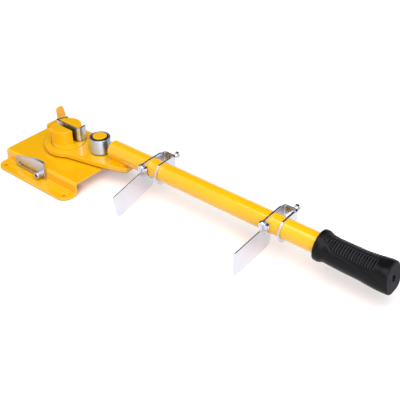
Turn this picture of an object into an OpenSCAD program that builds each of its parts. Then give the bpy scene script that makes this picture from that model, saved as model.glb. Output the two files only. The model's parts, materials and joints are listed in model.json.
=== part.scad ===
// Bench lever bender for flat strip, with two sliding length stops on its lever.
// Millimetres. Origin: centre of the four bench holes, on the bench. +X along the lever, +Z up.

/* [Base] */
// Width of the base along the lever
base_w = 185; // [180:1:220]
// Depth of the base over both foot flanges
base_d = 200; // [195:1:230]
// Height of the base top above the bench
base_h = 25; // [24:0.5:32]
// Thickness of the base sheet
sheet_t = 4; // [3:0.5:5]
// Depth of the raised part of the base
hat_d = 145; // [138:1:150]
// Distance of the bench holes from the base's left and right edges
hole_edge_x = 14; // [12:0.5:22]
// Distance of the bench holes from the flanges' outer edges
hole_edge_y = 11.5; // [10:0.5:14]
// Diameter of the bench holes
bench_hole_d = 7; // [6:0.5:9]
// Width of each rear foot, left and right of the rear flange's cut-out
rear_foot_w = 23; // [22:0.5:26]
// Depth of the rear flange's cut-out
rear_cut = 9; // [6:0.5:10]

/* [Pivot and former] */
// Pivot axis, along the lever from the origin
pivot_x = -9; // [-14:0.5:0]
// Pivot axis, across the base from the origin
pivot_y = 8; // [0:0.5:12]
// Diameter of the pivot disc that the lever turns on
disc_d = 62; // [58:1:64]
// Height of the front post above the pivot disc
post_h = 27.8; // [22:0.2:32]
// Radius of the front post
post_r = 23.5; // [21:0.5:23.5]
// Height of the rear former above the pivot disc
former_h = 28; // [22:0.5:34]
// Radius of the rear former
former_r = 26; // [24:0.5:28]
// Width of the strip slot between front post and liner
slot_w = 8.5; // [7:0.5:9.5]
// Thickness of the former's wear liner
liner_t = 3; // [2:0.25:4]

/* [Lever] */
// Thickness of the lever plate
lever_t = 10; // [8:0.5:12]
// Diameter of the lever eye
eye_d = 88; // [86:1:96]
// Distance from the pivot axis to the end of the lever plate
tongue_x = 149; // [140:1:155]
// Outer diameter of the lever tube
tube_d = 33.7; // [32:0.1:35]
// Wall of the lever tube
tube_wall = 2.6; // [2:0.1:4]
// Sideways offset of the tube axis from the pivot axis
tube_y = 12.6; // [10:0.2:15]
// Distance from the pivot axis to the near end of the tube
tube_x = 106; // [102:1:110]
// Distance from the pivot axis to the end of the grip
lever_len = 646; // [600:1:700]
// Length of the grip
grip_len = 117; // [105:1:130]
// Diameter of the grip's body
grip_d = 43; // [40:0.5:46]

/* [Roller] */
// Distance from the pivot axis to the roller axis
roller_x = 72; // [70:0.5:76]
// Diameter of the bending roller
roller_d = 38; // [34:0.5:42]
// Height of the bending roller
roller_h = 28.5; // [24:0.5:32]
// Diameter of the roller pin's shank
roller_pin_d = 14; // [12:0.5:16]
// How far the pin's head stands above the roller
pin_proud = 2.3; // [0.5:0.1:3]

/* [Length stops] */
// Place of the inner stop bracket, from the pivot axis
stop_x1 = 198; // [185:1:230]
// Place of the outer stop bracket, from the pivot axis
stop_x2 = 444; // [400:1:450]
// How far the inner bracket is turned about the tube, front side up
bracket_tilt1 = 0; // [0:1:8]
// How far the outer bracket is turned about the tube, front side up
bracket_tilt2 = 0; // [0:1:8]
// How far the inner flap droops
flap_tilt1 = 12.5; // [2:0.5:13]
// How far the outer flap droops
flap_tilt2 = 2.7; // [2:0.1:13]
// Width of a bracket along the tube
bracket_w = 27.5; // [26:0.5:32]
// Thickness of the bracket sheet
bracket_t = 3; // [2:0.25:3.5]
// Length of a flap along its lower edge
flap_len = 92; // [88:1:100]
// Height of a flap
flap_h = 43.5; // [43:0.5:46]
// Thickness of a flap
flap_t = 2; // [1.5:0.25:3]

/* [Angle stop] */
// Place of the angle stop's screw, from the pivot axis
lock_x = 15; // [10:1:18]
// Length of the angle stop's slot between its end centres
slot_len = 54; // [48:1:60]
// Thickness of the angle stop
stop_t = 5; // [4:0.5:6]

/* [Hidden] */
$fn = 64;

// paint and metal colours
yellow = [0.98, 0.74, 0.06];
zinc = [0.80, 0.82, 0.86];
chrome = [0.86, 0.87, 0.90];
steel = [0.55, 0.56, 0.58];
bronze = [0.72, 0.53, 0.28];
black_rubber = [0.10, 0.10, 0.11];

// gaps: running fits are radial
fit = 0.05;
slide_gap = 0.1;
free_gap = 0.3;

// base
hole_dx = base_w - 2 * hole_edge_x;
hole_dy = base_d - 2 * hole_edge_y;
bend_r = 2;
bend_out = bend_r + sheet_t;
flange_corner_r = 18;
lug_h = 9;
tab_h = 32.5;
lug_y0 = pivot_y + 17;
tab_y0 = pivot_y + 45;
tab_y1 = hat_d / 2 - 0.5;

// stack on the base, upwards
thrust_t = 1.2;
lever_z = base_h + thrust_t + slide_gap;
lever_top = lever_z + lever_t;
disc_top = lever_top + 0.9;
tube_r = tube_d / 2;
tube_z = lever_top + tube_r;

// former and liner, seen from above, from the pivot axis
slot_y0 = -3;
liner_y = slot_y0 + slot_w;
former_y = liner_y + liner_t;
former_cx = -6.75;
former_cy = former_y - 2;
liner_in_w = 2 * former_r + 2;
liner_nose_r = 9;
liner_back = former_y + former_r * 0.68;
liner_corner = [former_cx - liner_in_w / 2, former_y];
liner_nose = [former_cx + liner_in_w / 2 + liner_t - liner_nose_r, liner_y + liner_nose_r];
liner_leg_lean = 20;
leg_dir = [sin(liner_leg_lean), cos(liner_leg_lean)];
leg_side = [-leg_dir[1], leg_dir[0]];
liner_wing_lean = 12;
wing_dir = [-sin(liner_wing_lean), cos(liner_wing_lean)];
wing_side = [wing_dir[1], -wing_dir[0]];

// fasteners: across flats, head height and so on
m12_af = 19;
post_thread = disc_top - base_h - 1.7;
m8_af = 13;
m8_head = 8;
m6_af = 10;
m6_head = 4;
m6_nut = 5;
dowel_d = 6;
dowel_ring = 21;
former_screw_x = [former_cx - 13, former_cx + 13];
former_screw_y = former_cy + 8;
former_screw_d = 6;

// lever plate
eye_r = eye_d / 2;
arm_front = tube_y - 31.5;
arm_back = tube_y + 31.5;
arm_end_x = tube_x - 6;
arm_slope = 11.75;
arm_fillet = 40;
arm_off = arm_end_x * sin(arm_slope) - arm_front * cos(arm_slope);
arm_along = sqrt(pow(eye_r + arm_fillet, 2) - pow(arm_off + arm_fillet, 2));
tongue_half = tube_r - 2;

// roller
roller_washer_t = 1.2;
roller_z = lever_top + roller_washer_t + slide_gap;
roller_rim = 4.2;
roller_well = 4.2;
bush_wall = 2;
pin_head_r = roller_d / 2 * 0.68;

// grip
collar_len = 9;
collar_r = grip_d / 2 + 3.5;
grip_x = lever_len - grip_len;
tube_end = lever_len - 7;
vent_d = 7;

// length stops, in the frame of the tube axis
ring_r = tube_r + 5.4;
cheek_top = tube_r + 2.4;
ear_r = 8;
ear_reach = tube_r + ear_r + 3.45;
ear_angle = 21.7;
cheek_drop = 2.5;
web_y = 33;
web_half = 11.5;
web_z = cheek_top - cheek_drop - web_half;
web_bend = 3.5;
flap_x = bracket_t + free_gap;
flap_pivot_u = 76.5;
flap_pivot_v = flap_h + 2.2;
flap_corner = 10;
washer_t = 1.2;
set_x = bracket_w / 2;
set_head_y = web_y + 15;
set_tip_y = sqrt(pow(tube_r + fit, 2) - pow(web_z - 3, 2));

// angle stop
wall_y = -hat_d / 2;
lock_z = 13;
stop_y = wall_y - slide_gap;
stop_left = lock_x - slot_len - 13;
stop_right = lock_x + 12;
stop_low = bend_out + free_gap;
stop_high = base_h + 14.5;
lock_washer_t = 1.6;
lock_slot_w = 8.6;

// moves to the pivot axis at a height
module at_pivot(z = 0) {
    translate([pivot_x, pivot_y, z])
        children();
}

// moves to the tube axis at a distance from the pivot
module at_tube(x = 0) {
    translate([pivot_x + x, pivot_y + tube_y, tube_z])
        children();
}

// cylinder that runs along +X
module rod_x(r, len) {
    rotate([0, 90, 0])
        cylinder(r = r, h = len);
}

// cylinder that runs along +Y
module rod_y(r, len) {
    rotate([-90, 0, 0])
        cylinder(r = r, h = len);
}

// plate of a flat outline given in Y and Z, from the plane X = 0 towards +X
module plate_yz(t) {
    rotate([90, 0, 90])
        linear_extrude(t)
            children();
}

// plate of a flat outline given in X and Z, from the plane Y = 0 towards -Y
module plate_xz(t) {
    rotate([90, 0, 0])
        linear_extrude(t)
            children();
}

// hexagonal prism, upwards
module hexagon(af, h) {
    cylinder(d = af / cos(30), h = h, $fn = 6);
}

// flat ring, upwards
module washer(r_in, r_out, h) {
    difference() {
        cylinder(r = r_out, h = h);
        translate([0, 0, -1])
            cylinder(r = r_in, h = h + 2);
    }
}

// quarter of a ring, in the first quadrant
module quarter_ring(r_in, r_out) {
    intersection() {
        difference() {
            circle(r_out);
            circle(r_in);
        }
        square(r_out);
    }
}

// rectangle about the origin with round corners
module round_rect(w, d, r) {
    square([w - 2 * r, d], center = true);
    square([w, d - 2 * r], center = true);
    for (sx = [-1, 1], sy = [-1, 1])
        translate([sx * (w / 2 - r), sy * (d / 2 - r)])
            circle(r);
}

// rear half of the folded base sheet, in Y and Z
module hat_half() {
    translate([0, base_h - sheet_t])
        square([hat_d / 2 - bend_out, sheet_t]);
    translate([hat_d / 2 - bend_out, base_h - bend_out])
        quarter_ring(bend_r, bend_out);
    translate([hat_d / 2 - sheet_t, bend_out])
        square([sheet_t, base_h - 2 * bend_out]);
    translate([hat_d / 2 + bend_r, bend_out])
        rotate(180)
            quarter_ring(bend_r, bend_out);
    translate([hat_d / 2 + bend_r, 0])
        square([(base_d - hat_d) / 2 - bend_r, sheet_t]);
}

// upturned lug at the left edge, in Y and Z, that the lever swings against
module lug_outline() {
    foot = base_h - sheet_t;
    flat_end = hat_d / 2 - bend_out;
    polygon([[lug_y0, foot], [lug_y0, base_h + lug_h - 2], [lug_y0 + 2, base_h + lug_h],
        [tab_y0 - 2, base_h + lug_h], [tab_y0, base_h + lug_h + 2], [tab_y0, base_h + tab_h - 2],
        [tab_y0 + 2, base_h + tab_h - 0.5], [tab_y1 - 6, base_h + tab_h],
        [tab_y1 - 3.5, base_h + tab_h - 3], [tab_y1, base_h + 15], [tab_y1, base_h + 3],
        [flat_end, foot]]);
}

// base: one folded sheet with two foot flanges and the upturned lug
module base_plate() {
    color(yellow)
    difference() {
        union() {
            intersection() {
                translate([-base_w / 2, 0, 0])
                    plate_yz(base_w) {
                        hat_half();
                        mirror([1, 0])
                            hat_half();
                    }
                linear_extrude(base_h)
                    round_rect(base_w, base_d, flange_corner_r);
            }
            translate([-base_w / 2, 0, 0])
                plate_yz(sheet_t)
                    lug_outline();
        }
        for (sx = [-1, 1], sy = [-1, 1])
            translate([sx * hole_dx / 2, sy * hole_dy / 2, -1])
                cylinder(d = bench_hole_d, h = sheet_t + 2);
        translate([0, base_d / 2, -1])
            linear_extrude(sheet_t + 2)
                round_rect(base_w - 2 * rear_foot_w, 2 * rear_cut, 5);
        at_pivot(base_h - sheet_t - 1) {
            cylinder(d = 12.5, h = sheet_t + 2);
            for (s = [-1, 1])
                translate([s * dowel_ring, 0, 0])
                    cylinder(d = dowel_d, h = sheet_t + 2);
        }
        translate([pivot_x + lock_x, wall_y - 1, lock_z])
            rod_y(4.25, sheet_t + 2);
    }
}

// pivot disc and half round front post, one turned and milled piece
module pivot_post() {
    color(yellow)
    at_pivot(base_h)
    difference() {
        union() {
            cylinder(d = disc_d, h = disc_top - base_h);
            linear_extrude(disc_top - base_h + post_h)
                intersection() {
                    translate([former_cx, slot_y0])
                        circle(post_r);
                    translate([-disc_d, slot_y0 - disc_d])
                        square([2 * disc_d, disc_d]);
                }
        }
        translate([0, 0, -1])
            cylinder(d = 12, h = 1 + post_thread + 0.5);
        for (s = [-1, 1])
            translate([s * dowel_ring, 0, -1])
                cylinder(d = dowel_d, h = 7);
        for (x = former_screw_x)
            translate([x, former_screw_y, -1]) {
                cylinder(d = former_screw_d + 0.4, h = disc_top);
                cylinder(d = 10.4, h = 7.5);
            }
    }
}

// bolt that holds the post to the base from below
module post_bolt() {
    color(steel)
    at_pivot(base_h - sheet_t) {
        translate([0, 0, -2.5 - 7.5])
            hexagon(m12_af, 7.5);
        translate([0, 0, -2.5 - 1])
            cylinder(d = 12, h = sheet_t + 1 + 2.5 + post_thread);
    }
}

// plain washer under the post bolt's head
module post_washer() {
    color(steel)
    at_pivot(base_h - sheet_t - 2.5)
        washer(6 + 0.25, 12, 2.5);
}

// two dowels that keep the post from turning
module post_dowels() {
    color(steel)
    at_pivot(base_h - sheet_t)
        for (s = [-1, 1])
            translate([s * dowel_ring, 0, 0])
                cylinder(d = dowel_d, h = sheet_t + 5.5);
}

// inside outline of the liner from above: leaning left leg, flat front, round nose, open to the rear
module liner_inside(reach) {
    nose_r = liner_nose_r - liner_t;
    translate(liner_nose)
        circle(nose_r);
    polygon([liner_corner, [liner_nose[0], former_y], liner_nose, liner_nose + nose_r * wing_side,
        liner_nose + nose_r * wing_side + reach * wing_dir, liner_corner + reach * leg_dir]);
}

// outside outline of the liner from above, closed across the ends of leg and wing
module liner_outside() {
    leg_len = (liner_back - former_y) / cos(liner_leg_lean);
    wing_len = liner_back - liner_nose[1] - 2;
    translate(liner_nose)
        circle(liner_nose_r);
    translate(liner_corner)
        circle(liner_t);
    polygon([[liner_corner[0], liner_y], [liner_nose[0], liner_y], liner_nose,
        liner_nose + liner_nose_r * wing_side, liner_nose + liner_nose_r * wing_side + wing_len * wing_dir,
        liner_corner + liner_t * leg_side + leg_len * leg_dir, liner_corner + liner_t * leg_side,
        liner_corner]);
}

// rear former: half round block that the strip is bent about
module former() {
    color(yellow)
    at_pivot(disc_top)
    difference() {
        linear_extrude(former_h)
            intersection() {
                translate([former_cx, former_cy])
                    circle(former_r);
                liner_inside(2 * former_r);
            }
        for (x = former_screw_x)
            translate([x, former_screw_y, -1])
                cylinder(d = former_screw_d, h = 15);
    }
}

// two socket head screws that hold the former down from inside the disc
module former_screws() {
    color(steel)
    at_pivot(base_h)
        for (x = former_screw_x)
            translate([x, former_screw_y, 0]) {
                translate([0, 0, 0.4])
                    difference() {
                        cylinder(d = 10, h = 6);
                        translate([0, 0, -1])
                            hexagon(5, 4);
                    }
                translate([0, 0, 5])
                    cylinder(d = former_screw_d, h = disc_top - base_h + 12 - 5);
            }
}

// bright wear liner folded round the former
module former_liner() {
    color(chrome)
    at_pivot(disc_top)
    linear_extrude(former_h + 0.5)
        difference() {
            liner_outside();
            liner_inside(4 * former_r);
        }
}

// thrust washer that carries the lever eye on the base
module thrust_washer() {
    color(bronze)
    at_pivot(base_h)
        washer(disc_d / 2 + 0.2, eye_r - 3, thrust_t);
}

// outline of the lever from above: eye, curved shoulder, arm and tapered tongue
module lever_outline() {
    n = [sin(arm_slope), -cos(arm_slope)];
    along = arm_along * [cos(arm_slope), sin(arm_slope)];
    fillet_c = (arm_off + arm_fillet) * n + along;
    circle(eye_r);
    difference() {
        polygon([[0, eye_r - 0.2], [0, 0], fillet_c, arm_off * n + along, [arm_end_x, arm_front],
            [arm_end_x + 27, arm_front + 8.2], [tongue_x - 2, tube_y - tongue_half - 1.2],
            [tongue_x, tube_y - tongue_half + 1.2], [tongue_x, tube_y + tongue_half - 4],
            [tongue_x - 4, tube_y + tongue_half + 1], [arm_end_x, arm_back - 1]]);
        translate(fillet_c)
            circle(arm_fillet);
    }
}

// lever plate that swings about the pivot disc
module lever_plate() {
    color(yellow)
    at_pivot(lever_z)
    difference() {
        linear_extrude(lever_t)
            lever_outline();
        translate([0, 0, -1])
            cylinder(r = disc_d / 2 + fit, h = lever_t + 2);
        translate([roller_x, tube_y, -1])
            cylinder(d = roller_pin_d, h = lever_t + 2);
    }
}

// lever tube, laid on the tongue
module handle_tube() {
    color(yellow)
    at_tube(tube_x)
    difference() {
        rod_x(tube_r, tube_end - tube_x);
        translate([-1, 0, 0])
            rod_x(tube_r - tube_wall, tube_end - tube_x + 2);
    }
}

// two fillet welds between tongue and tube
module tube_welds() {
    leg = 9;
    len = tongue_x - tube_x - 6;
    color(yellow)
    at_tube(tube_x + 1)
    for (s = [-1, 1])
        difference() {
            plate_yz(len)
                polygon([[s * 2.5, -tube_r], [s * (leg + 2.5), -tube_r], [s * (leg + 1.5), -tube_r + 2.5],
                    [s * (leg + 0.5), -tube_r + 4]]);
            translate([-1, 0, 0])
                rod_x(tube_r, len + 2);
        }
}

// headed pin that the roller turns on, riveted flush under the lever plate
module roller_pin() {
    color(yellow)
    at_pivot(lever_z)
    translate([roller_x, tube_y, 0]) {
        cylinder(d = roller_pin_d, h = lever_t + roller_h + roller_washer_t);
        translate([0, 0, lever_t + roller_washer_t + slide_gap + roller_h - roller_well + 0.3])
            cylinder(r = pin_head_r, h = roller_well - 0.3 + pin_proud);
    }
}

// washer between lever plate and roller
module roller_washer() {
    color(steel)
    at_pivot(lever_top)
    translate([roller_x, tube_y, 0])
        washer(roller_pin_d / 2 + 0.2, roller_d / 2 - 3, roller_washer_t);
}

// hardened roller with a well for the pin's head
module roller() {
    color(chrome)
    at_pivot(roller_z)
    translate([roller_x, tube_y, 0])
    difference() {
        cylinder(d = roller_d, h = roller_h);
        translate([0, 0, -1])
            cylinder(r = roller_pin_d / 2 + bush_wall, h = roller_h + 2);
        translate([0, 0, roller_h - roller_well])
            cylinder(r = roller_d / 2 - roller_rim, h = roller_well + 1);
    }
}

// bronze bush pressed into the roller
module roller_bush() {
    color(bronze)
    at_pivot(roller_z)
    translate([roller_x, tube_y, 0])
        washer(roller_pin_d / 2 + fit, roller_pin_d / 2 + bush_wall, roller_h - roller_well);
}

// half outline of the grip along the tube: collar, body and rounded end
module grip_profile() {
    body_r = grip_d / 2;
    end_r = 4.5;
    square([collar_r - 2, collar_len]);
    translate([0, 2])
        square([collar_r, collar_len - 4]);
    for (y = [2, collar_len - 2])
        translate([collar_r - 2, y])
            circle(2);
    polygon([[0, collar_len - 1], [collar_r - 2, collar_len - 1], [body_r, collar_len + 6],
        [0, collar_len + 6]]);
    translate([0, collar_len])
        square([body_r, grip_len - collar_len - end_r]);
    translate([0, grip_len - end_r - 1])
        square([body_r - end_r, end_r + 1]);
    translate([body_r - end_r, grip_len - end_r])
        circle(end_r);
}

// rubber hand grip pushed over the end of the tube
module grip() {
    color(black_rubber)
    at_tube(grip_x)
    rotate([0, 90, 0])
    difference() {
        rotate_extrude()
            intersection() {
                grip_profile();
                square([2 * grip_d, grip_len]);
            }
        translate([0, 0, -1])
            cylinder(r = tube_r, h = tube_end - grip_x + 1);
        cylinder(d = vent_d, h = grip_len + 1);
    }
}

// adjustable plate at the base's front wall that limits the lever's swing
module angle_stop() {
    color(zinc)
    translate([pivot_x, stop_y, 0])
    difference() {
        plate_xz(stop_t)
            polygon([[stop_left, stop_low + 2], [stop_left + 2, stop_low], [stop_right, stop_low],
                [stop_right, stop_high], [stop_right - 22, stop_high], [stop_left + 3, base_h - 1],
                [stop_left, base_h - 4]]);
        translate([0, -stop_t - 1, lock_z]) {
            for (x = [lock_x - slot_len, lock_x])
                translate([x, 0, 0])
                    rod_y(lock_slot_w / 2, stop_t + 2);
            translate([lock_x - slot_len, 0, -lock_slot_w / 2])
                cube([slot_len, stop_t + 2, lock_slot_w]);
        }
    }
}

// washer under the lock screw's head
module lock_washer() {
    color(zinc)
    translate([pivot_x + lock_x, stop_y - stop_t - slide_gap, lock_z])
        rotate([90, 0, 0])
            washer(4 + 0.2, 7.5, lock_washer_t);
}

// socket head screw that locks the angle stop
module lock_screw() {
    color(zinc)
    translate([pivot_x + lock_x, stop_y - stop_t - 2 * slide_gap - lock_washer_t, lock_z]) {
        rotate([90, 0, 0])
            difference() {
                cylinder(d = 13, h = m8_head);
                translate([0, 0, m8_head - 4])
                    hexagon(6, 5);
            }
        translate([0, -1, 0])
            rod_y(4, 1 + lock_washer_t + stop_t + 3 * slide_gap + sheet_t + 9);
    }
}

// nut welded behind the base's front wall
module lock_nut() {
    color(steel)
    translate([pivot_x + lock_x, wall_y + sheet_t, lock_z])
        rotate([-90, 0, 0])
            difference() {
                rotate(30)
                    hexagon(m8_af, 6.5);
                translate([0, 0, -1])
                    cylinder(r = 4 + fit, h = 9);
            }
}

// outline of a bracket's cheek in Y and Z: ring round the tube, straight top edge that drops to the web
module cheek_outline() {
    foot_y = web_y - web_bend - bracket_t;
    intersection() {
        circle(ring_r);
        translate([-ring_r - 1, -ring_r - 1])
            square([2 * ring_r + 2, ring_r + 1 + cheek_top]);
    }
    polygon([[0, cheek_top], [foot_y - 9, cheek_top], [foot_y - 3, cheek_top - 0.8],
        [foot_y, web_z + web_half], [foot_y, web_z - web_half], [0, -ring_r + 0.1]]);
}

// outline of the ear that carries the flap, joined to the ring
module ear_outline() {
    ear_y = -ear_reach * cos(ear_angle);
    ear_z = ear_reach * sin(ear_angle);
    translate([ear_y, ear_z])
        circle(ear_r);
    polygon([[ear_y, ear_z + ear_r - 0.01], [0, cheek_top], [0, 0], [-ring_r * 0.9, -ring_r * 0.3],
        [ear_y - ear_r * 0.3, ear_z - ear_r * 0.9]]);
}

// bracket folded to a U that slides on the tube, with the set screw through its web
module bracket(x, tilt) {
    r_out = web_bend + bracket_t;
    color(zinc)
    at_tube(x)
    rotate([-tilt, 0, 0])
    difference() {
        union() {
            plate_yz(bracket_t) {
                cheek_outline();
                ear_outline();
            }
            translate([bracket_w - bracket_t, 0, 0])
                plate_yz(bracket_t)
                    cheek_outline();
            translate([r_out, web_y - bracket_t, web_z - web_half])
                cube([bracket_w - 2 * r_out, bracket_t, 2 * web_half]);
            for (s = [0, 1])
                translate([s ? bracket_w - r_out : r_out, web_y - r_out, web_z - web_half])
                    linear_extrude(2 * web_half)
                        rotate(s ? 0 : 90)
                            quarter_ring(web_bend, r_out);
        }
        translate([-1, 0, 0])
            rod_x(tube_r + fit, bracket_w + 2);
        ear_place(-1)
            rod_x(3 + fit, bracket_t + 2);
        translate([set_x, web_y - bracket_t - 1, web_z])
            rod_y(3 + fit, bracket_t + 2);
    }
}

// moves to the flap's pivot in the frame of a bracket
module ear_place(x) {
    rotate([-ear_angle, 0, 0])
        translate([x, -ear_reach, 0])
            children();
}

// set screw that clamps a bracket on the tube
module set_screw(x, tilt) {
    color(zinc)
    at_tube(x)
    rotate([-tilt, 0, 0])
    translate([set_x, 0, web_z]) {
        translate([0, set_tip_y, 0])
            rod_y(3, set_head_y - set_tip_y);
        translate([0, set_head_y, 0])
            rotate([-90, 0, 0])
                hexagon(m6_af, m6_head);
    }
}

// nut welded outside the web for the set screw
module set_nut(x, tilt) {
    color(zinc)
    at_tube(x)
    rotate([-tilt, 0, 0])
    translate([set_x, web_y, web_z])
        rotate([-90, 0, 0])
            difference() {
                hexagon(m6_af, m6_nut);
                translate([0, 0, -1])
                    cylinder(r = 3 + fit, h = m6_nut + 2);
            }
}

// outline of a flap about its pivot: U runs along the lower edge towards the tube
module flap_outline(droop) {
    u0 = -flap_pivot_u;
    v0 = -flap_pivot_v;
    u1 = u0 + flap_len;
    difference() {
        union() {
            circle(ear_r);
            polygon([[u0, v0 + 3], [u0 + 3, v0], [u1 - flap_corner, v0], [u1 - flap_corner, v0 + flap_corner],
                [u1, v0 + flap_corner], [u1, v0 + 17], [ear_r, 0], [0, 0], [-ear_r - 4, v0 + flap_h],
                [u0 + 2, v0 + flap_h], [u0, v0 + flap_h - 2]]);
            translate([u1 - flap_corner, v0 + flap_corner])
                circle(flap_corner);
        }
        rotate(-droop)
            translate([ear_reach, 0])
                circle(tube_r + 0.6);
    }
}

// flap that the end of the strip butts against, hanging from the bracket's ear
module flap(x, tilt, droop) {
    turn = tilt + ear_angle + droop + 3;
    color(zinc)
    at_tube(x)
    rotate([-tilt, 0, 0])
    ear_place(flap_x)
    rotate([tilt + ear_angle, 0, 0])
    rotate([droop, 0, 0])
    difference() {
        plate_yz(flap_t)
            flap_outline(turn);
        translate([-1, 0, 0])
            rod_x(3 + fit, flap_t + 2);
        translate([-1, -2, -14])
            rod_x(1.5, flap_t + 2);
    }
}

// hex bolt that a flap swings on
module flap_bolt(x, tilt) {
    color(zinc)
    at_tube(x)
    rotate([-tilt, 0, 0])
    ear_place(0) {
        translate([-m6_head, 0, 0])
            rotate([0, 90, 0])
                hexagon(m6_af, m6_head);
        translate([-1, 0, 0])
            rod_x(3, 1 + flap_x + flap_t + free_gap + washer_t + m6_nut + 1.5);
    }
}

// washer between a flap and its nut
module flap_washer(x, tilt) {
    color(zinc)
    at_tube(x)
    rotate([-tilt, 0, 0])
    ear_place(flap_x + flap_t + free_gap)
        rotate([0, 90, 0])
            washer(3 + fit, 6, washer_t);
}

// nut on a flap's bolt
module flap_nut(x, tilt) {
    color(zinc)
    at_tube(x)
    rotate([-tilt, 0, 0])
    ear_place(flap_x + flap_t + free_gap + washer_t)
        rotate([0, 90, 0])
            difference() {
                hexagon(m6_af, m6_nut);
                translate([0, 0, -1])
                    cylinder(r = 3 + fit, h = m6_nut + 2);
            }
}

module inner_bracket() { bracket(stop_x1, bracket_tilt1); }
module inner_set_screw() { set_screw(stop_x1, bracket_tilt1); }
module inner_set_nut() { set_nut(stop_x1, bracket_tilt1); }
module inner_flap() { flap(stop_x1, bracket_tilt1, flap_tilt1); }
module inner_flap_bolt() { flap_bolt(stop_x1, bracket_tilt1); }
module inner_flap_washer() { flap_washer(stop_x1, bracket_tilt1); }
module inner_flap_nut() { flap_nut(stop_x1, bracket_tilt1); }
module outer_bracket() { bracket(stop_x2, bracket_tilt2); }
module outer_set_screw() { set_screw(stop_x2, bracket_tilt2); }
module outer_set_nut() { set_nut(stop_x2, bracket_tilt2); }
module outer_flap() { flap(stop_x2, bracket_tilt2, flap_tilt2); }
module outer_flap_bolt() { flap_bolt(stop_x2, bracket_tilt2); }
module outer_flap_washer() { flap_washer(stop_x2, bracket_tilt2); }
module outer_flap_nut() { flap_nut(stop_x2, bracket_tilt2); }

base_plate();
pivot_post();
post_bolt();
post_washer();
post_dowels();
former();
former_screws();
former_liner();
thrust_washer();
lever_plate();
handle_tube();
tube_welds();
roller_pin();
roller_washer();
roller();
roller_bush();
grip();
angle_stop();
lock_screw();
lock_washer();
lock_nut();
inner_bracket();
inner_set_screw();
inner_set_nut();
inner_flap();
inner_flap_bolt();
inner_flap_washer();
inner_flap_nut();
outer_bracket();
outer_set_screw();
outer_set_nut();
outer_flap();
outer_flap_bolt();
outer_flap_washer();
outer_flap_nut();
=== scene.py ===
"""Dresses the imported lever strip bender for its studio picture.

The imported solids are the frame. Sheet metal and machined blocks keep their solids and get rounded
edges. Turned, threaded, welded and moulded pieces are built here as meshes that stand for theirs.
Sizes in the classes are millimetres in the frame of the row, and MM turns them into metres.
"""

import json
import logging
import math
from collections.abc import Callable, Iterable, Sequence
from dataclasses import dataclass, field
from enum import Enum

import bmesh
import bpy
from mathutils import Matrix, Vector
from mathutils.geometry import tessellate_polygon

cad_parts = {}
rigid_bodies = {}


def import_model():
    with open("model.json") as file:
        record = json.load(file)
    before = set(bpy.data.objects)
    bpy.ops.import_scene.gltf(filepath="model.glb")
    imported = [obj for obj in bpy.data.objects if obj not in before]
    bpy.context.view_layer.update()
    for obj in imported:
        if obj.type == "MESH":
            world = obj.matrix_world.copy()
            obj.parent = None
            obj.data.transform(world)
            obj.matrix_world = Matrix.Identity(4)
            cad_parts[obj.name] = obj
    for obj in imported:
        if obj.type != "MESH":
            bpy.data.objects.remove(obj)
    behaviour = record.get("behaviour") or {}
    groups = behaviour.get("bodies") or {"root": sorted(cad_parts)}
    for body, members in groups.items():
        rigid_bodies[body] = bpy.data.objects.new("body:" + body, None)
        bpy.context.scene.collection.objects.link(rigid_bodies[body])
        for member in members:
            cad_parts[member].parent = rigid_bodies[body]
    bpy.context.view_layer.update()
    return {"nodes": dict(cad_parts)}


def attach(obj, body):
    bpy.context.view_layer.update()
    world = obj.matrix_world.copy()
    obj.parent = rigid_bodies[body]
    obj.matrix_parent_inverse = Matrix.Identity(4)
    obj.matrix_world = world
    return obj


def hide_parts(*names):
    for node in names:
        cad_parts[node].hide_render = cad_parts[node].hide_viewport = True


MM = 0.001
TINY = 1e-6
FLAT_ANGLE = math.radians(38)
ROUND_ANGLE = math.radians(32)
SAME_FLAT = math.radians(0.5)
JOIN_REACH = 2e-6
THREAD_DEPTH = 0.55
THREAD_LEAD = 0.35
THREAD_ROWS = 5
HEX_STEPS = 72
HEX_TURNED = 0.965
HEX_FALL = 0.55
NUT_LEAD = (0.7, 0.6)
SCREW_PITCH = 1.0
ROD_PLAY = 0.02
COAT_ROUGH = 0.05
BRUSH_TURN = 0.25
GLOSS_SCALE = 2.3
LINE_ROUGH = 0.03
SHADE_RAYS = 8
MIX_COLOURS = (6, 7)
MIX_RESULT = 2
log = logging.getLogger("strip_bender")

Item = bpy.types.Object
Socket = bpy.types.NodeSocket
Pair = tuple[float, float]
Triple = tuple[float, float, float]
Colour = tuple[float, float, float]


class Slot(Enum):
    """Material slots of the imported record."""

    PAINT = "yellow_paint"
    CHROME = "chrome"
    ZINC = "zinc"
    STEEL = "steel"
    BRONZE = "bronze"
    RUBBER = "black_rubber"


class Along(Enum):
    """Direction in which a turned piece's own axis points in the frame."""

    UP = "up"
    RIGHT = "right"
    REAR = "rear"
    FRONT = "front"

    def turn(self) -> Matrix:
        """Returns the rotation that takes the local Z axis to this direction."""
        if self is Along.RIGHT:
            return Matrix.Rotation(math.radians(90), 4, "Y")
        if self is Along.REAR:
            return Matrix.Rotation(math.radians(-90), 4, "X")
        if self is Along.FRONT:
            return Matrix.Rotation(math.radians(90), 4, "X")
        return Matrix.Identity(4)


def linear(colour: Triple) -> Colour:
    """Turns a colour of 0 to 255 as a screen shows it into linear values.

    Args:
        colour: Red, green and blue from 0 to 255.

    Returns:
        The same colour as linear red, green and blue.
    """
    def channel(v: float) -> float:
        """Returns one channel as a linear value."""
        s = v / 255
        return s / 12.92 if s <= 0.04045 else ((s + 0.055) / 1.055) ** 2.4

    return channel(colour[0]), channel(colour[1]), channel(colour[2])


def smooth(low: float, high: float, value: float) -> float:
    """Returns 0 below low, 1 above high, and an eased step between them."""
    t = min(1.0, max(0.0, (value - low) / (high - low)))
    return t * t * (3 - 2 * t)


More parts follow.
